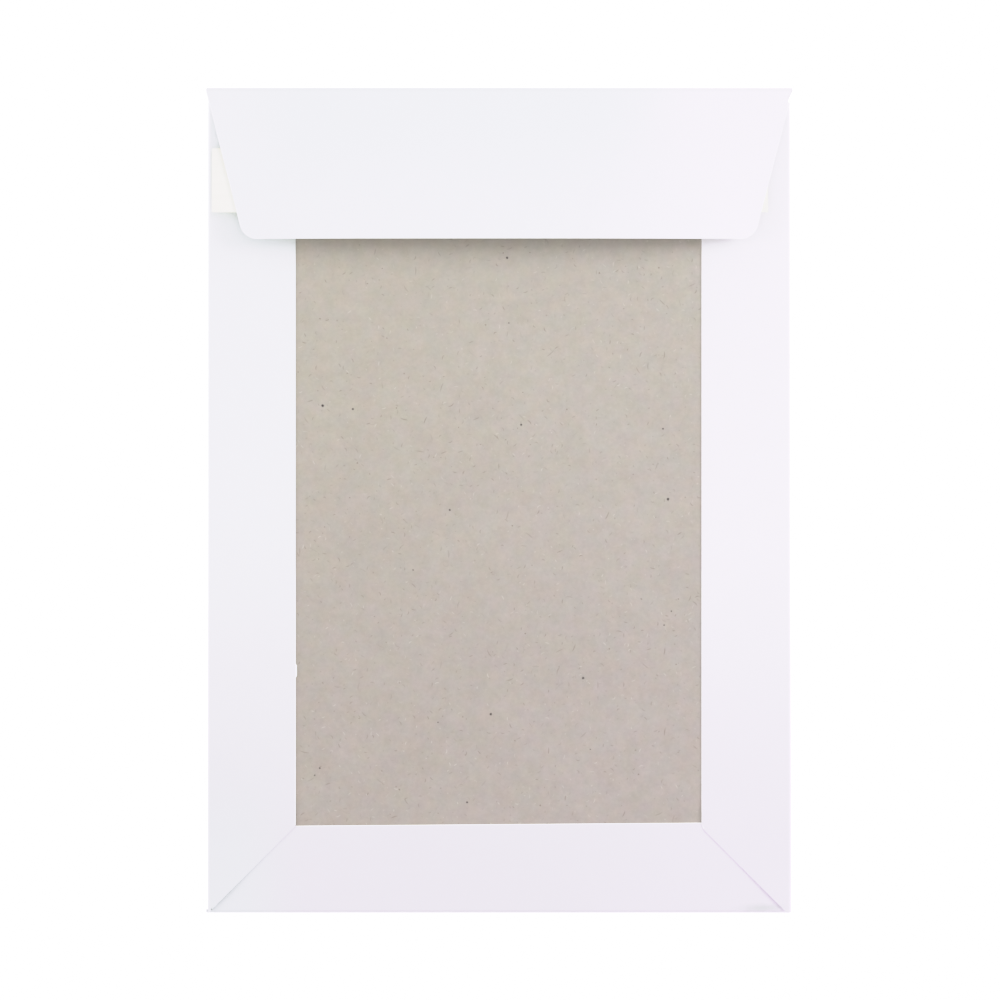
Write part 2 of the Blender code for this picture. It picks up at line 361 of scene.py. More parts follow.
def white_paper():
    finish = Finish("white_paper", PAPER_LEFT[:3], PAPER_ROUGHNESS)
    across = finish.node("ShaderNodeSeparateXYZ", {}, (finish.place,))
    wander = (finish.noise(WANDER_PATCH, detail=2.0) - 0.5) * WANDER_REACH
    height = across.part(1)
    # The drifts across and down the sheet are partly painted light: lighter to the right, darker towards the
    # bottom.
    rightness = (across + wander).step(*RIGHT_DRIFT)
    colour = finish.mix(rightness, PAPER_LEFT, PAPER_RIGHT)
    top = (height + wander * 0.3).step(*TOP_DRIFT) * across.step(*TOP_DRIFT_ACROSS)
    colour = finish.mix(top * (1 - rightness), colour, PAPER_TOP)
    bottom = finish.mix(rightness, PAPER_BOTTOM_LEFT, PAPER_BOTTOM_RIGHT)
    colour = finish.mix((height + wander * 0.4).step(*BOTTOM_DRIFT), colour, bottom)
    corner = (height + wander * 0.2).step(*CORNER_DRIFT) * across.step(*CORNER_DRIFT_ACROSS)
    colour = finish.mix(corner, colour, PAPER_CORNER)
    cloud = finish.noise(CLOUD_PATCH, detail=3.0) + finish.noise(SMALL_CLOUD_PATCH, detail=2.0) * 0.5
    # The top fold is painted darker along the outline: painted shade.
    crease = height.step(*FOLD_SHADE_DRIFT)
    colour = finish.shade(colour, (0.985 + cloud * CLOUD_DEPTH) * (1 - crease * FOLD_SHADE_DEPTH))
    # The lower right end of the bottom fold is painted a little darker.
    darker_place = finish.moved(finish.place, location=DARKER_PATCH_MIDDLE, scale=DARKER_PATCH_SIZE)
    length = {"operation": "LENGTH"}
    from_darker_patch = finish.node("ShaderNodeVectorMath", length, (darker_place,), output="Value")
    darker_patch = (from_darker_patch + finish.noise(DARKER_PATCH_CLOUD) * 0.5).step(1.3, 0.3)
    colour = finish.mix(darker_patch, colour, PAPER_FOLD_DARKER)
    # A painted highlight on the cut edges that the light falls on.
    edge_highlight = finish.node("ShaderNodeAttribute", {"attribute_name": "edge_highlight"}, output="Fac")
    finish.feed("Base Color", finish.mix(edge_highlight.step(0.0, 0.7), colour, PAPER_EDGE_HIGHLIGHT))
    tooth = finish.noise(TOOTH_GRAIN, detail=4.0, roughness=0.6)
    finish.relief(tooth, TOOTH_HEIGHT)
    return finish.material


paper = white_paper()

# %% [markdown]
# ## Grey board
#
# The back board is pressed from waste paper, and all of its look is in its surface. It is olive at the
# upper left and drifts to a pinkish grey lower down, and it is painted darker lower down as painted light,
# where the light falls off. It is softly mottled in patches of a few millimetres, has a fine grain, and is
# strewn with short hairs, most of them darker than the pulp, and with a few ink flecks. The imported board
# has the right shape, so it stays and only gets this finish.
#
# A hair is drawn in each cell of a random mosaic. The place is taken from the cell's middle and turned by a
# random angle, and what lies within a long thin ellipse round there is the hair. Each kind of hair is given
# by the size of its cells, its greatest length and width, the share of the cells that hold one, and a shift
# of the whole pattern.

# %% Grey board
BOARD_UPPER_LEFT = (0.444, 0.405, 0.353, 1.0)
BOARD_UPPER_RIGHT = (0.448, 0.410, 0.368, 1.0)
BOARD_LOWER_LEFT = (0.410, 0.363, 0.332, 1.0)
BOARD_LOWER_RIGHT = (0.420, 0.369, 0.347, 1.0)
GREEN_CAST = (0.984, 1.006, 0.994, 1.0)
PINK_CAST = (1.016, 0.994, 1.006, 1.0)
YELLOW_CAST = (1.004, 1.0, 0.975, 1.0)
BLUE_CAST = (0.996, 1.0, 1.025, 1.0)
HAIR_DARK = (0.235, 0.190, 0.160, 1.0)
HAIR_LIGHT = (0.610, 0.580, 0.540, 1.0)
INK = (0.055, 0.045, 0.045, 1.0)
BOARD_ROUGHNESS = 0.95
BOARD_DRIFT_ACROSS = (-45.0 * MM, 45.0 * MM)
BOARD_DRIFT_UP = (-90.0 * MM, 75.0 * MM)
BOARD_WANDER_PATCH = 30 * MM
BOARD_WANDER_REACH = 60 * MM
CAST_PATCH = 4.2 * MM
MOTTLE_PATCH = 3 * MM
MOTTLE_SHIFT = (0.1, 0.3, 0)
GRAIN_PATCH = 0.9 * MM
BOARD_CLOUD_PATCH = 13 * MM
BOARD_CLOUD_SHIFT = (0.2, 0.1, 0)
FINE_HAIRS = (1.9 * MM, 1.7 * MM, 0.34 * MM, 0.6, 0.11)
LONG_HAIRS = (4.6 * MM, 3.2 * MM, 0.38 * MM, 0.5, 0.27)
LIGHT_HAIRS = (2.1 * MM, 1.7 * MM, 0.34 * MM, 0.5, 0.43)
SPECKS = (4.8 * MM, 0.7 * MM, 0.5 * MM, 0.45, 0.61)
DARK_HAIR_DEPTH = 0.52
LIGHT_HAIR_DEPTH = 0.44
SPECK_DEPTH = 0.8
HAIR_SHUFFLE = 7.3
BOARD_RELIEF = 0.02 * MM


def hairs(finish, cell, length, width, share, shift):
    """A mask of short bent hairs, 1 on a strong hair. Other shifts give other hairs."""
    place = finish.moved(finish.place, location=(shift, shift, 0))
    middle, first, second, third = finish.cells(cell, place)
    from_middle = finish.node("ShaderNodeVectorMath", {"operation": "SUBTRACT"}, (place, middle))
    strength = first.maths("FRACT", first * HAIR_SHUFFLE)
    inputs = {"Vector": from_middle, "Angle": first * (2 * math.pi)}
    turned = finish.node("ShaderNodeVectorRotate", {"rotation_type": "Z_AXIS"}, inputs)
    along = finish.node("ShaderNodeSeparateXYZ", {}, (turned,))
    across = along.part(1)
    along = along / (third * (length / 2))
    across = across / (width / 2) - along * along * (second * 8.0 - 2.0)
    kept = second.maths("LESS_THAN", second, share)
    return (along * along + across * across).step(1.0, 0.25) * kept * strength * strength


def greyboard():
    finish = Finish("greyboard", BOARD_UPPER_LEFT[:3], BOARD_ROUGHNESS)
    across = finish.node("ShaderNodeSeparateXYZ", {}, (finish.place,))
    height = across.part(1)
    wander = (finish.noise(BOARD_WANDER_PATCH, detail=2.0) - 0.5) * BOARD_WANDER_REACH
    rightness = (across + wander).step(*BOARD_DRIFT_ACROSS)
    upper = finish.mix(rightness, BOARD_UPPER_LEFT, BOARD_UPPER_RIGHT)
    lower = finish.mix(rightness, BOARD_LOWER_LEFT, BOARD_LOWER_RIGHT)
    # The drift down the board is partly painted light: the lower colours are darker where the light falls
    # off.
    pulp = finish.mix((height + wander).step(*BOARD_DRIFT_UP), lower, upper)
    casts = ((0.0, GREEN_CAST, PINK_CAST), (0.2, YELLOW_CAST, BLUE_CAST))
    for shift, first, second in casts:
        shifted = finish.moved(finish.place, location=(shift, 0, 0))
        patches = finish.noise(CAST_PATCH, detail=3.0, at=shifted)
        cast = finish.mix(patches.step(0.3, 0.7), first, second)
        pulp = finish.node("ShaderNodeVectorMath", {"operation": "MULTIPLY"}, (pulp, cast))
    shifted = finish.moved(finish.place, location=MOTTLE_SHIFT)
    mottling = finish.noise(MOTTLE_PATCH, detail=3.0, at=shifted)
    grain = finish.noise(GRAIN_PATCH, detail=3.0, roughness=0.6)
    shifted = finish.moved(finish.place, location=BOARD_CLOUD_SHIFT)
    clouds = finish.noise(BOARD_CLOUD_PATCH, detail=2.0, at=shifted)
    pulp = finish.shade(pulp, 0.802 + clouds * 0.05 + mottling * 0.18 + grain * 0.17)
    fine_hairs = hairs(finish, *FINE_HAIRS)
    long_hairs = hairs(finish, *LONG_HAIRS)
    light_hairs = hairs(finish, *LIGHT_HAIRS)
    specks = hairs(finish, *SPECKS)
    pulp = finish.mix(fine_hairs * DARK_HAIR_DEPTH, pulp, HAIR_DARK)
    pulp = finish.mix(light_hairs * LIGHT_HAIR_DEPTH, pulp, HAIR_LIGHT)
    pulp = finish.mix(long_hairs * DARK_HAIR_DEPTH, pulp, HAIR_DARK)
    pulp = finish.mix(specks * SPECK_DEPTH, pulp, HAIR_DARK)
    pulp = finish.mix(flecks(finish), pulp, INK)
    finish.feed("Base Color", pulp)
    finish.relief(grain * 0.6 + mottling * 0.2 + long_hairs * 0.3, BOARD_RELIEF)
    return finish.material


# %% [markdown]
# The largest flecks are easy to tell apart in the photograph, so each of them is put in its own place:
# across, up and its radius, all in millimetres. The rest of the pattern is only like the real one.

# %% Ink flecks
FLECKS = (
    (-49.1, 26.2, 0.45),
    (-40.7, 25.3, 0.32),
    (2.1, 67.3, 0.38),
    (2.6, 49.2, 0.22),
    (6.0, 20.9, 0.34),
    (45.4, 19.8, 0.28),
    (46.8, 0.3, 0.42),
    (-13.8, -2.7, 0.32),
    (-24.0, -19.4, 0.24),
    (47.7, -30.8, 0.22),
    (45.7, -34.7, 0.22),
    (23.2, -49.4, 0.42),
    (-2.4, -59.4, 0.40),
    (-17.1, -61.7, 0.22),
    (-9.0, -83.9, 0.34),
    (25.2, -69.2, 0.22),
    (-49.9, -74.4, 0.30),
    (-51.3, -76.4, 0.26),
)
FLECK_BLUR = 0.25
FLECK_CORE = 0.6
WOBBLE_PATCH = 0.5 * MM
WOBBLE_REACH = 0.3 * MM


def flecks(finish):
    """A mask of the flecks, with wobbly outlines: 1 in a fleck and 0 beside it."""
    wobble = finish.noise(WOBBLE_PATCH, detail=2.0) * WOBBLE_REACH
    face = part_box("back_board")[1].z
    measure = {"operation": "DISTANCE"}
    mask = 0.0
    for x, y, radius in FLECKS:
        inputs = (finish.place, (x * MM, y * MM, face))
        distance = finish.node("ShaderNodeVectorMath", measure, inputs, output="Value")
        mask = mask + (distance + wobble).step((radius + FLECK_BLUR) * MM, radius * FLECK_CORE * MM)
    return mask.maths("MINIMUM", mask, 1.0)


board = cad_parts["back_board"]
board.data.materials.clear()
board.data.materials.append(greyboard())


# %% [markdown]
# ## The folded sheet
#
# One die-cut blank of paper makes the front panel, two side flaps, the bottom flap and the closing flap. It
# is modelled the way the machine folds it: a flat panel, whose edges are spun half a turn round a fold and
# then pulled out into flaps. The mitres and the slanted sides are cut with the bisect tool, and the round
# corners are vertex bevels. All this is done on the paper's middle surface, and the thickness comes last.
#
# The measures of the flaps are the real ones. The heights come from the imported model: the flaps lie on the
# glue, so the glue's top gives how far apart the layers are, and with that the radius of every fold.

# %% Measures of the sheet
PAPER = 0.15 * MM
CONTACT = 0.02 * MM
CORNER_SLIT = 0.1 * MM
FOLD_TIP = 0.4 * MM
LEFT_FOLD_SLANT = 0.28
RIGHT_FOLD_SLANT = 0.476
RIGHT_TIP_DEPTH = 1.0 * MM
NOTCH_DEPTH = 3.3 * MM
LEFT_SEAM = 24.4 * MM
RIGHT_SEAM = 24.9 * MM
BOTTOM_SEAM_LEFT = 24.1 * MM
BOTTOM_SEAM_RIGHT = 24.95 * MM
LEFT_SEAM_TOP = 2.7 * MM
RIGHT_SEAM_TOP = 4.1 * MM
LEFT_MITRE_START = 0.3 * MM
RIGHT_MITRE_START = 1.3 * MM
MITRE_OVERLAP = 2.0 * MM
LEFT_MITRE_CORNER = 1.2 * MM
RIGHT_MITRE_CORNER = 4.0 * MM
FLAP_DEPTH = 42.1 * MM
LEFT_SHOULDER = 1.9 * MM
RIGHT_SHOULDER = 1.65 * MM
LEFT_TAPER = math.radians(14.2)
RIGHT_TAPER = math.radians(14.45)
FLAP_CORNER = 4.7 * MM
FLAP_OPENING = math.radians(8.5)
FLAP_CLEARANCE = 0.1 * MM
FOLD_STEPS = 12
CORNER_STEPS = 10
MITRE_ANGLE = math.radians(135)
SMOOTH_UP_TO = math.radians(35)
SAME_PLACE = 0.001 * MM
CUT_THRESHOLD = 0.0001 * MM

sheet_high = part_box("envelope_sheet")[1]
half_width = sheet_high.x - FOLD_TIP
half_height = sheet_high.y
seam_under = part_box("left_seam_glue")[1].z + CONTACT
side_radius = seam_under / 2
flap_radius = side_radius + (PAPER + FLAP_CLEARANCE) / 2
side_crease = half_width - PAPER / 2 - side_radius
bottom_crease = half_height - PAPER / 2 - side_radius
top_crease = half_height - PAPER / 2 - flap_radius
side_low = -bottom_crease + CORNER_SLIT
left_high = half_height - LEFT_SEAM_TOP
right_high = half_height - RIGHT_SEAM_TOP
notch = half_height - NOTCH_DEPTH
heel = -half_height + CONTACT
seam_level = PAPER / 2 + 2 * side_radius
print("fold radii:", round(side_radius / MM, 3), round(flap_radius / MM, 3), "mm")


# %% Helpers for working on a mesh by hand
def start_piece(name, width, height, middle, finish):
    """Adds a plane of this size, lays it at its place, and goes into edit mode with it."""
    bpy.ops.mesh.primitive_plane_add(size=1)
    piece = bpy.context.object
    piece.name = name
    piece.data.materials.append(finish)
    piece.scale = (width, height, 1)
    piece.location = middle
    bpy.ops.object.transform_apply(location=True, rotation=True, scale=True)
    bpy.ops.object.mode_set(mode="EDIT")
    return piece


def choose(kind, test):
    """Selects each corner, edge or face whose corners all pass the test, and nothing else."""
    bpy.ops.mesh.select_mode(type=kind)
    bpy.ops.mesh.select_all(action="DESELECT")
    data = bpy.context.object.data
    mesh = bmesh.from_edit_mesh(data)
    if kind == "VERT":
        chosen = [corner for corner in mesh.verts if test(corner.co)]
    else:
        items = mesh.edges if kind == "EDGE" else mesh.faces
        chosen = [item for item in items if all(test(corner.co) for corner in item.verts)]
    for item in chosen:
        item.select_set(True)
    mesh.select_flush_mode()
    bmesh.update_edit_mesh(data)


def near(a, b):
    return abs(a - b) < SAME_PLACE


def cut(point, normal, trim=False):
    """Cuts what is selected along a plane, and with trim drops what the normal points to."""
    bpy.ops.mesh.bisect(
        plane_co=point,
        plane_no=normal,
        clear_outer=trim,
        threshold=CUT_THRESHOLD,
    )


def pull(step):
    """Extends the sheet from the selected edges."""
    bpy.ops.mesh.extrude_edges_move(TRANSFORM_OT_translate={"value": step})


def name_part(name, test):
    """Keeps the faces that pass a test under a name, as a vertex group."""
    choose("FACE", test)
    bpy.ops.object.vertex_group_add()
    bpy.context.object.vertex_groups.active.name = name
    bpy.ops.object.vertex_group_assign()


def round_corner(place, radius, opening):
    """Rounds the corner nearest to a place, where two sides of the outline meet at this angle."""
    mesh = bmesh.from_edit_mesh(bpy.context.object.data)
    corner = min(mesh.verts, key=lambda one: (one.co - Vector(place)).length).co.copy()
    choose("VERT", lambda p: (p - corner).length < SAME_PLACE)
    bpy.ops.mesh.bevel(
        offset=radius / math.tan(opening / 2),
        offset_type="OFFSET",
        segments=CORNER_STEPS,
        profile=0.5,
        affect="VERTICES",
    )


# %% Front panel
sheet = start_piece(
    "folded_sheet",
    2 * side_crease,
    bottom_crease + top_crease,
    (0, (top_crease - bottom_crease) / 2, PAPER / 2),
    paper,
)
for line in (side_low, left_high, right_high):
    bpy.ops.mesh.select_all(action="SELECT")
    cut((0, line, 0), (0, 1, 0))


# %% [markdown]
# ### Side flaps
#
# Each side edge is spun half a turn round the fold's axis, which gives the round fold, and the new edge is
# pulled inwards. The mitre at its lower end starts from the outline's corner and rises at 45 degrees.

# %% Side flaps
def foot_of_mitre(mitre_start):
    """How far up the sheet a mitre that starts this far from the corner meets the side fold."""
    return -half_height + half_width - mitre_start - side_crease


def side_flap(name, side, high, seam, mitre_start, mitre_corner):
    """side is 1 for the right flap and -1 for the left."""
    crease = side * side_crease

    def on_crease(p):
        return near(p.x, crease) and side_low - CONTACT / 2 < p.y < high + CONTACT / 2

    choose("EDGE", on_crease)
    centre = (crease, 0, PAPER / 2 + side_radius)
    bpy.ops.mesh.spin(steps=FOLD_STEPS, angle=math.pi, center=centre, axis=(0, side, 0))
    free_edge = side * (half_width - seam)
    pull((free_edge - crease, 0, 0))

    def off_panel(p):
        return side * p.x > side_crease - CONTACT or (near(p.z, seam_level) and side * p.x > 0)

    choose("EDGE", lambda p: near(p.y, side_low) and off_panel(p))
    pull((0, heel - side_low, 0))
    foot = Vector((crease, foot_of_mitre(mitre_start), seam_level))
    choose("FACE", lambda p: off_panel(p) and p.z > PAPER)
    cut(foot, (-side, -1, 0), trim=True)
    mitre_end = (free_edge, foot.y + side_crease - side * free_edge, seam_level)
    round_corner(mitre_end, mitre_corner, MITRE_ANGLE)
    name_part(name, off_panel)


side_flap("left_flap", -1, left_high, LEFT_SEAM, LEFT_MITRE_START, LEFT_MITRE_CORNER)
side_flap("right_flap", 1, right_high, RIGHT_SEAM, RIGHT_MITRE_START, RIGHT_MITRE_CORNER)

# %% [markdown]
# ### Bottom flap
#
# The side flaps reach down over the ends of the bottom fold. At the left the fold sticks out below them by
# a small tip, where the blank wasn't trimmed. The flap itself is a little narrower and runs 2 mm on under
# the side flaps. Its free edge isn't quite level.

# %% Bottom flap
bottom_root = side_crease - 2 * PAPER
tip_reach = half_width + FOLD_TIP


def below_crease(p):
    return p.y < -bottom_crease + CONTACT / 2


def on_bottom_flap(p):
    return near(p.z, seam_level) and abs(p.x) < bottom_root + CONTACT


choose("EDGE", lambda p: near(p.y, -bottom_crease))
centre = (0, -bottom_crease, PAPER / 2 + side_radius)
bpy.ops.mesh.spin(steps=FOLD_STEPS, angle=math.pi, center=centre, axis=(1, 0, 0))
choose("EDGE", lambda p: near(p.x, -side_crease) and below_crease(p))
pull((side_crease - tip_reach, 0, 0))
choose("FACE", below_crease)
cut((-bottom_root, 0, 0), (-1, 0, 0))
choose("FACE", below_crease)
cut((bottom_root, 0, 0), (1, 0, 0), trim=True)
choose("EDGE", lambda p: near(p.y, -bottom_crease) and on_bottom_flap(p))
pull((0, 2 * BOTTOM_SEAM_RIGHT, 0))

left_end = Vector((-half_width + LEFT_SEAM, -half_height + BOTTOM_SEAM_LEFT, seam_level))
right_end = Vector((half_width - RIGHT_SEAM, -half_height + BOTTOM_SEAM_RIGHT, seam_level))
along_edge = right_end - left_end
choose("FACE", on_bottom_flap)
cut(left_end, (-along_edge.y, along_edge.x, 0), trim=True)
for side, mitre_start in ((-1, LEFT_MITRE_START), (1, RIGHT_MITRE_START)):
    reach = bottom_crease - half_height + half_width - mitre_start + MITRE_OVERLAP * math.sqrt(2)
    choose("FACE", on_bottom_flap)
    cut((side * reach, -bottom_crease, 0), (side, 1, 0), trim=True)
name_part("bottom_flap", on_bottom_flap)

# %% [markdown]
# ### Closing flap
#
# Its fold is a little wider than the others, because it goes over two layers, and it springs back open by a
# few degrees. The strip above the side flaps is widened to the outline first, so the fold keeps a tip at
# each end. The ends of the strip are trimmed aslant, so they hide under the flap. At the right this cut
# goes on through the fold and a little way into the flap, and leaves a small notch in the outline.

# %% Closing flap
flap_start = Vector((0, math.sin(FLAP_OPENING), 1 + math.cos(FLAP_OPENING))) * flap_radius
flap_start += Vector((0, top_crease, PAPER / 2))
down_flap = Vector((0, -math.cos(FLAP_OPENING), math.sin(FLAP_OPENING)))
off_flap = Vector((0, math.sin(FLAP_OPENING), math.cos(FLAP_OPENING)))
flap_length = (flap_start.y - half_height + FLAP_DEPTH) / math.cos(FLAP_OPENING)


def on_closing_flap(p):
    from_start = p - flap_start
    return near(from_start.dot(off_flap), 0) and from_start.dot(down_flap) > -CONTACT / 2


def on_panel_above(p, line):
    return p.y > line - CONTACT / 2 and p.z < PAPER


for side, high in ((-1, left_high), (1, right_high)):
    choose("EDGE", lambda p: near(p.x, side * side_crease) and on_panel_above(p, high))
    pull((side * (tip_reach - side_crease), 0, 0))
choose("EDGE", lambda p: near(p.y, top_crease))
centre = (0, top_crease, PAPER / 2 + flap_radius)
bpy.ops.mesh.spin(steps=FOLD_STEPS, angle=math.pi - FLAP_OPENING, center=centre, axis=(-1, 0, 0))
pull(down_flap * flap_length)
right_tip = Vector((tip_reach, half_height - RIGHT_TIP_DEPTH, 0))
choose("FACE", lambda p: on_panel_above(p, left_high))
cut((-tip_reach, top_crease, 0), (-1, -LEFT_FOLD_SLANT, 0), trim=True)
choose("FACE", lambda p: on_panel_above(p, right_high))
cut(right_tip, (1, -RIGHT_FOLD_SLANT, 0), trim=True)
choose("FACE", on_closing_flap)
cut((0, notch, 0), (0, 1, 0))
choose("FACE", lambda p: p.y > notch - CONTACT / 2)
cut(right_tip, (1, -RIGHT_FOLD_SLANT, 0), trim=True)
for side, down, taper in ((-1, LEFT_SHOULDER, LEFT_TAPER), (1, RIGHT_SHOULDER, RIGHT_TAPER)):
    across = Vector((side, 0, 0))
    shoulder = flap_start + across * half_width + down_flap * down
    choose("FACE", on_closing_flap)
    cut(shoulder, across * math.cos(taper) + down_flap * math.sin(taper), trim=True)
    run = flap_length - down
    flap_corner = shoulder + down_flap * run - across * run * math.tan(taper)
    round_corner(flap_corner, FLAP_CORNER, math.pi / 2 + taper)
name_part("closing_flap", on_closing_flap)
print("closing flap:", round(flap_length / MM, 2), "mm, edge at", round(flap_corner.z / MM, 2), "mm")

# %% [markdown]
# ### Cut edges and a grid of cuts
#
# So far every flap is one large flat face. A ring of narrow faces is inset along its sides first, because
# the paper's finish paints a highlight on some cut edges, the ones the light falls on. The guillotine left
# one small tooth in the left edge of the opening, which is moved out of line here. A cut where each band of
# glue ends, and a grid of cuts 2.5 mm apart, then give the paper corners to bend at.

# %% Cut edges and grid
CUT_RIM = 0.3 * MM
GRID = 2.5 * MM
TOOTH_TOP = -45.3 * MM
TOOTH_BOTTOM = -49.4 * MM
TOOTH_SLOPE = 0.7 * MM
TOOTH_DEPTH = 0.35 * MM


def in_tooth(p):
    return near(p.x, left_edge) and TOOTH_BOTTOM + CONTACT < p.y < TOOTH_TOP - CONTACT


choose("FACE", lambda p: near(p.z, seam_level) or on_closing_flap(p))
bpy.ops.mesh.inset(thickness=CUT_RIM)
left_edge = -half_width + LEFT_SEAM
for line in (TOOTH_TOP, TOOTH_TOP - TOOTH_SLOPE, TOOTH_BOTTOM + TOOTH_SLOPE, TOOTH_BOTTOM):
    choose("FACE", lambda p: near(p.z, seam_level) and p.x < left_edge + CONTACT)
    cut((0, line, 0), (0, 1, 0))
choose("VERT", in_tooth)
bpy.ops.transform.translate(value=(TOOTH_DEPTH, 0, 0))
for line in (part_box("left_seam_glue")[1].x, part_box("right_seam_glue")[0].x):
    bpy.ops.mesh.select_all(action="SELECT")
    cut((line, 0, 0), (1, 0, 0))
bpy.ops.mesh.select_all(action="SELECT")
cut((0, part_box("bottom_seam_glue")[1].y, 0), (0, 1, 0))

for reach, across in ((half_width, Vector((1, 0, 0))), (half_height, Vector((0, 1, 0)))):
    for step in range(math.ceil(reach / GRID)):
        for side in (-1, 1):
            bpy.ops.mesh.select_all(action="SELECT")
            cut(across * (side * (step + 0.5) * GRID), across)
print("faces of the grid:", len(bmesh.from_edit_mesh(sheet.data).faces))

# %% [markdown]
# ### Natural shape
#
# Real paper is never quite flat. A side flap climbs by one thickness of paper where it lies over the end of
# the bottom flap, and its mitre stands up a little. The paper puffs up beside the folds, where there is no
# glue, and past the glue its edges lie down on the board. The closing flap sags a little between its fold
# and its free edge, and is arched across: its middle stands off the board, and its sides are a few
# millimetres lower. These are small movements of many corners, so a formula moves each corner of the grid
# up or down.

# %% Natural shape
MITRE_RAMP = 6.0 * MM
LEFT_MITRE_LIFT = 0.25 * MM
RIGHT_MITRE_LIFT = 0.12 * MM
MITRE_LIFT_REACH = 4.0 * MM
MITRE_LIFT_RUN = 24.0 * MM
PUFF = 0.12 * MM
PUFF_WIDTH = 10.5 * MM
BOTTOM_PUFF_END = 6.0 * MM
BOTTOM_PUFF_FADE = 12.0 * MM
EDGE_DIP = 0.07 * MM
EDGE_DIP_WIDTH = 1.0 * MM
FLAP_SAG = 0.5 * MM
FLAP_EASE = 0.7 * MM
LEFT_ARCH = 2.5 * MM
RIGHT_ARCH = 3.2 * MM
ARCH_ALONG = 1.7
ARCH_ACROSS = 3
FLAP_WAVE = 0.25 * MM
WAVE_LENGTH = 45.0 * MM


def ease(value, start, end):
    """0 up to start and 1 from end, with a soft change between them."""
    share = min(max((value - start) / (end - start), 0), 1)
    return share * share * (3 - 2 * share)


def wave(x, y, length):
    """A smooth random number from 0 to 1 that changes over about this length."""
    return 0.5 + 0.5 * noise.noise((x / length, y / length, 0))


def puff(past_fold):
    """How strongly the paper puffs up this far past a fold, from 0 to 1."""
    middle = PUFF_WIDTH / 2
    return ease(past_fold, 0, middle) - ease(past_fold, middle, PUFF_WIDTH)


def lift_of_side_flap(p, seam, mitre_start, mitre_lift):
    """How far a corner of a side flap or of its fold stands above the glued layer."""
    turned = math.acos(min(max(1 - (p.z - PAPER / 2) / side_radius, -1), 1))
    past_fold = (turned - math.pi) * side_radius
    if near(p.z, seam_level):
        past_fold = side_crease - abs(p.x)
    foot = foot_of_mitre(mitre_start)
    inside = (p.y - foot - past_fold) / math.sqrt(2)
    along = max(p.y - foot + past_fold, 0) / math.sqrt(2)
    over_bottom = 1 - ease(inside, MITRE_OVERLAP, MITRE_OVERLAP + MITRE_RAMP)
    near_mitre = (1 - ease(inside, 0, MITRE_LIFT_REACH)) * (1 - ease(along, 0, MITRE_LIFT_RUN))
    lift = (PAPER + CONTACT) * over_bottom + mitre_lift * near_mitre
    if past_fold > 0:
        lift += PUFF * puff(past_fold) * wave(p.x, p.y, WAVE_LENGTH)
        lift -= EDGE_DIP * ease(half_width - abs(p.x), seam - EDGE_DIP_WIDTH, seam)
    return lift * turned / math.pi


def lift_of_bottom_flap(p):
    """The same for the bottom flap. It stays down where the side flaps lie over it."""
    past_fold = p.y + bottom_crease
    mitre = half_width - past_fold
    between = 1 - ease(abs(p.x), mitre - BOTTOM_PUFF_FADE, mitre - BOTTOM_PUFF_END)
    lift = between * PUFF * puff(past_fold) * wave(p.x, p.y, WAVE_LENGTH / 2)
    share = (p.x - left_end.x) / along_edge.x
    edge = BOTTOM_SEAM_LEFT + (BOTTOM_SEAM_RIGHT - BOTTOM_SEAM_LEFT) * share
    return lift - EDGE_DIP * ease(p.y + half_height, edge - EDGE_DIP_WIDTH, edge)


def lift_of_closing_flap(p):
    """The flap sags a little along its length, and is arched across it, so its sides are lower."""
    down = max((p - flap_start).dot(down_flap) / flap_length, 0)
    taper, arch = (LEFT_TAPER, LEFT_ARCH) if p.x < 0 else (RIGHT_TAPER, RIGHT_ARCH)
    reach = half_width - down * flap_length * math.tan(taper)
    towards_side = min(abs(p.x) / reach, 1)
    lift = FLAP_WAVE * down * (wave(p.x, 0, WAVE_LENGTH) - 0.5) - FLAP_EASE * down
    lift -= 4 * FLAP_SAG * down * (1 - down)
    return lift - arch * down**ARCH_ALONG * towards_side**ARCH_ACROSS


bpy.ops.object.mode_set(mode="OBJECT")
part_names = [group.name for group in sheet.vertex_groups]
for corner in sheet.data.vertices:
    parts = [part_names[share.group] for share in corner.groups if share.weight > 0.99]
    p = corner.co.copy()
    if "closing_flap" in parts:
        corner.co.z += lift_of_closing_flap(p)
    elif "bottom_flap" in parts:
        corner.co.z += lift_of_bottom_flap(p)
    elif "left_flap" in parts:
        corner.co.z += lift_of_side_flap(p, LEFT_SEAM, LEFT_MITRE_START, LEFT_MITRE_LIFT)
    elif "right_flap" in parts:
        corner.co.z += lift_of_side_flap(p, RIGHT_SEAM, RIGHT_MITRE_START, RIGHT_MITRE_LIFT)

# %% [markdown]
# The cut edges that get a painted highlight are the slanted sides of the closing flap and the lower half of
# the opening. Their corners are the ones on the sheet's boundary. Then the sheet gets its thickness.

# %% Cut edges with a painted highlight, and thickness
FLAP_SIDE_ZONE = 17.0 * MM
OPENING_LIT_BELOW = -20.0 * MM


def catches_light(p):
    """Whether a cut edge here gets the painted highlight."""
    if p.z > flap_start.z - CONTACT and p.y > 0:
        return abs(p.x) > half_width - FLAP_SIDE_ZONE
    return abs(p.x) < half_width - LEFT_SEAM + CONTACT and p.y < OPENING_LIT_BELOW


def thicken(piece, thickness):
    """Gives a sheet its thickness, half of it to each side, and rounds the look of its folds."""
    bpy.ops.object.modifier_add(type="SOLIDIFY")
    wall = piece.modifiers[-1]
    wall.thickness = thickness
    wall.offset = 0
    bpy.ops.object.modifier_apply(modifier=wall.name)
    bpy.ops.object.shade_smooth_by_angle(angle=SMOOTH_UP_TO)


sheet.vertex_groups.clear()
bpy.ops.object.mode_set(mode="EDIT")
mesh = bmesh.from_edit_mesh(sheet.data)
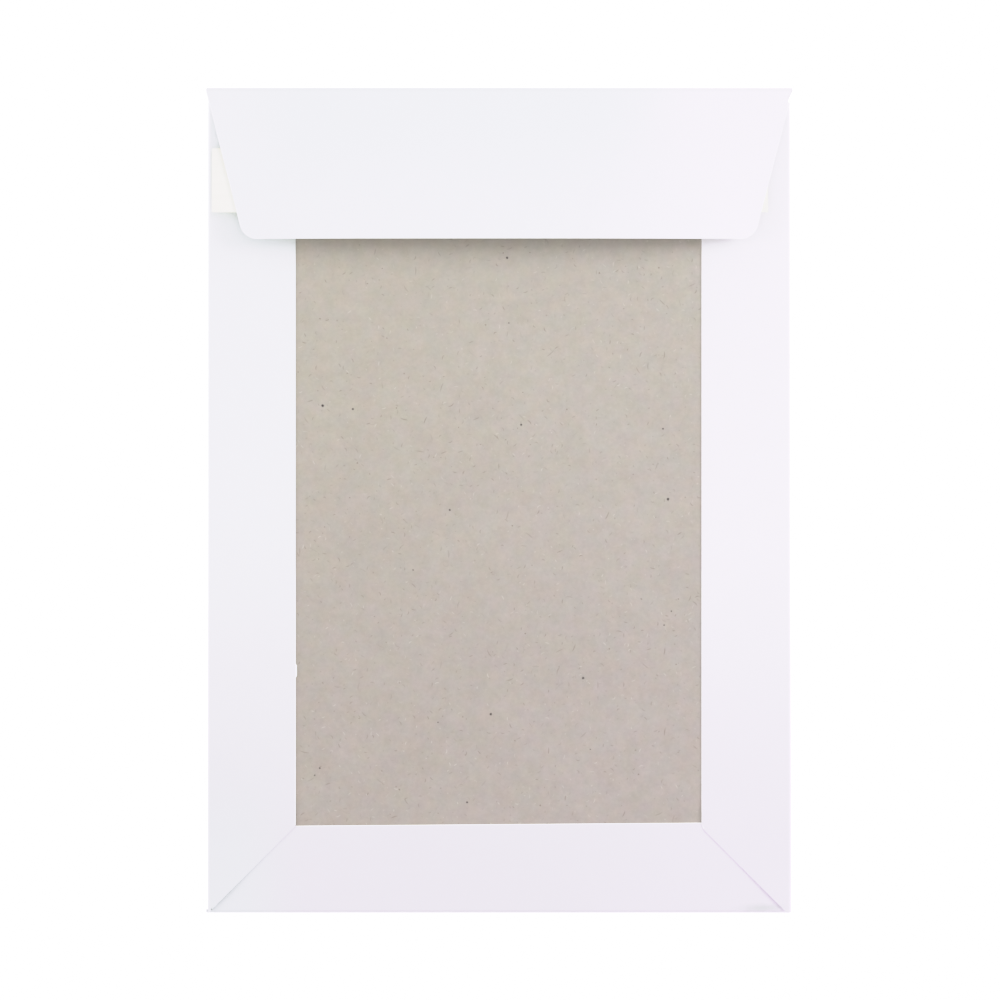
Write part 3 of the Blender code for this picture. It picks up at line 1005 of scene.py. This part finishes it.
# Marks the boundary corners that get the painted highlight on cut edges.
rim = mesh.verts.layers.float.new("edge_highlight")
for corner in mesh.verts:
    corner[rim] = 1.0 if corner.is_boundary and catches_light(corner.co) else 0.0
bmesh.update_edit_mesh(sheet.data)
bpy.ops.mesh.select_all(action="SELECT")
bpy.ops.mesh.normals_make_consistent(inside=False)
bpy.ops.object.mode_set(mode="OBJECT")
thicken(sheet, PAPER)
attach(sheet, "root")
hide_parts("envelope_sheet")
print("folded sheet:", len(sheet.data.polygons), "faces")

# %% [markdown]
# ## Adhesive and its liner
#
# A strip of pressure-sensitive adhesive runs across the inner face of the closing flap. A wider strip of
# coated release paper covers it and stands out past the flap's slanted sides, where it can be gripped and
# peeled off. Both are flat strips that follow the flap, so each is cut into a grid and laid along it, and
# the liner's free ends droop a little.

# %% Strips on the flap
ADHESIVE = 0.1 * MM
LINER = 0.07 * MM
LINER_DROOP = 0.1 * MM
DROOP_WIDTH = 6.0 * MM
DROOP_WAVE = 9 * MM
STRIP_ROWS = 8


def strip_on_flap(node, thickness, below, droop, finish):
    """Lays a strip of this node's size under the closing flap, this far below the flap's middle."""
    low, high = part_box(node)
    top = (flap_start.y - high.y) / math.cos(FLAP_OPENING)
    depth = (high.y - low.y) / math.cos(FLAP_OPENING)
    middle = ((low.x + high.x) / 2, -top - depth / 2, 0)
    strip = start_piece(node + "_strip", high.x - low.x, depth, middle, finish)
    for line in range(math.ceil(low.x / GRID), math.ceil(high.x / GRID)):
        bpy.ops.mesh.select_all(action="SELECT")
        cut((line * GRID, 0, 0), (1, 0, 0))
    for row in range(1, STRIP_ROWS):
        bpy.ops.mesh.select_all(action="SELECT")
        cut((0, -top - depth * row / STRIP_ROWS, 0), (0, 1, 0))
    bpy.ops.object.mode_set(mode="OBJECT")
    for corner in strip.data.vertices:
        on_flap = flap_start + Vector((corner.co.x, 0, 0)) - down_flap * corner.co.y
        from_end = min(corner.co.x - low.x, high.x - corner.co.x)
        at_end = 1 - ease(from_end, 0, DROOP_WIDTH)
        drooping = droop * at_end * wave(corner.co.x, corner.co.y, DROOP_WAVE) * 2
        corner.co = on_flap - off_flap * (below + drooping)
        corner.co.z += lift_of_closing_flap(on_flap)
    thicken(strip, thickness)
    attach(strip, "root")
    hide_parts(node)
    print(strip.name, "faces:", len(strip.data.polygons))


# %% [markdown]
# The adhesive is clear and yellowish with a wet shine. The liner is a thin off-white paper that was pressed
# smooth and coated with silicone, so it has a soft sheen and fine streaks along its length. The glue under
# the flaps is a dried film, and hidden.

# %% Finishes of the strips and the glue
ADHESIVE_CLEAR = (0.80, 0.73, 0.52, 1.0)
ADHESIVE_THICK = (0.74, 0.65, 0.42, 1.0)
LINER_PALE = (0.932, 0.942, 0.775, 1.0)
LINER_STREAK = (0.912, 0.918, 0.745, 1.0)
GLUE_DRY = (0.80, 0.76, 0.66, 1.0)
GLUE_THIN = (0.72, 0.68, 0.59, 1.0)


def two_tone(name, first, second, size, stretch, roughness, bump):
    """A finish that wavers between two colours."""
    finish = Finish(name, first[:3], roughness)
    streaks = finish.noise(size, detail=3.0, stretch=stretch)
    finish.feed("Base Color", finish.mix(streaks.step(0.3, 0.7), first, second))
    finish.feed("Roughness", streaks * 0.1 + (roughness - 0.05))
    finish.relief(streaks, bump)
    return finish.material


adhesive = two_tone(
    "flap_adhesive",
    ADHESIVE_CLEAR,
    ADHESIVE_THICK,
    size=3 * MM,
    stretch=(3, 1, 1),
    roughness=0.25,
    bump=0.02 * MM,
)
coated = two_tone(
    "release_liner",
    LINER_PALE,
    LINER_STREAK,
    size=1.2 * MM,
    stretch=(12, 1, 1),
    roughness=0.42,
    bump=0.004 * MM,
)
dried_glue = two_tone(
    "seam_glue",
    GLUE_DRY,
    GLUE_THIN,
    size=2 * MM,
    stretch=(1, 4, 1),
    roughness=0.45,
    bump=0.01 * MM,
)

adhesive_below = PAPER / 2 + CONTACT + ADHESIVE / 2
liner_below = adhesive_below + ADHESIVE / 2 + CONTACT + LINER / 2
strip_on_flap("flap_adhesive", ADHESIVE, adhesive_below, 0, adhesive)
strip_on_flap("release_liner", LINER, liner_below, LINER_DROOP, coated)
for node in ("left_seam_glue", "right_seam_glue", "bottom_seam_glue"):
    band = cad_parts[node]
    band.data.materials.clear()
    band.data.materials.append(dried_glue)
